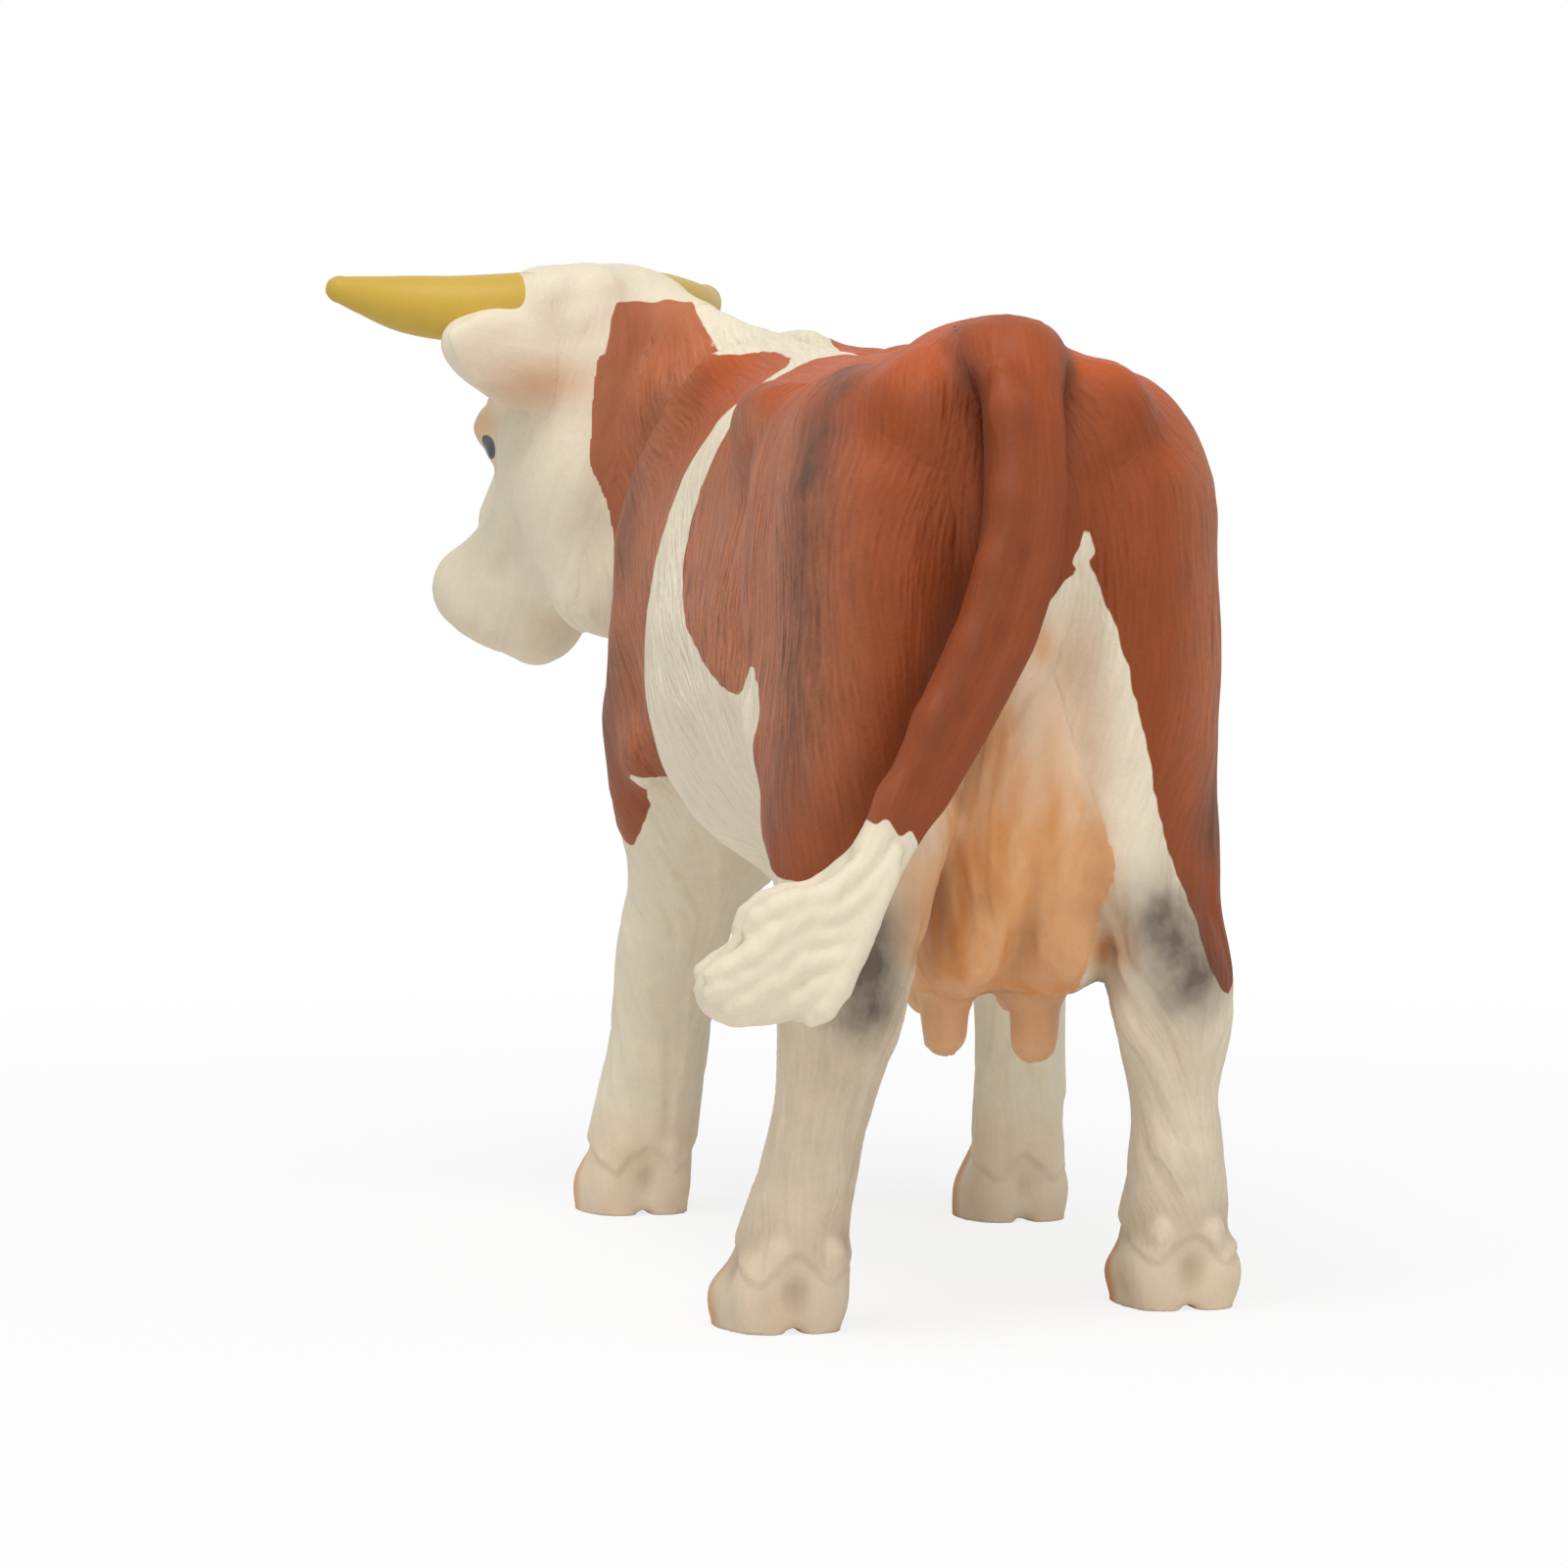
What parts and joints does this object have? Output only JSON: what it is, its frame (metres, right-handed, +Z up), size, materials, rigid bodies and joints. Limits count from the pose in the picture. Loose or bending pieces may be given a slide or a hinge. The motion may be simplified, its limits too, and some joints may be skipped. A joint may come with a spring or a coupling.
{
  "type": "toy farm animal figure",
  "caption": "Toy dairy cow standing with its head turned to one side, with curved horns, drooping ears, an udder and a tail swung against the hind leg.",
  "frame": {"origin": "on the ground, under the middle of the figure's bounding box", "axes": "+X forward, the way the trunk points; +Y to the cow's left; +Z up"},
  "size_m": [0.1218, 0.066, 0.0875],
  "materials": {
    "brown_coat": "satin paint on PVC, engraved with fine hair",
    "cream_coat": "satin paint on PVC, engraved with fine hair",
    "horn": "satin paint on smooth PVC",
    "udder_skin": "satin paint on PVC, airbrushed orange over cream"
  },
  "bodies": {
    "root": {"trunk": "brown_coat", "leg_rear_left": "brown_coat", "leg_rear_right": "brown_coat", "leg_front_left": "cream_coat", "leg_front_right": "cream_coat", "neck": "brown_coat", "head": "cream_coat", "horn_left": "horn", "ear_left": "cream_coat", "horn_right": "horn", "ear_right": "cream_coat", "udder": "udder_skin", "tail": "brown_coat"}
  },
  "joints": []
}
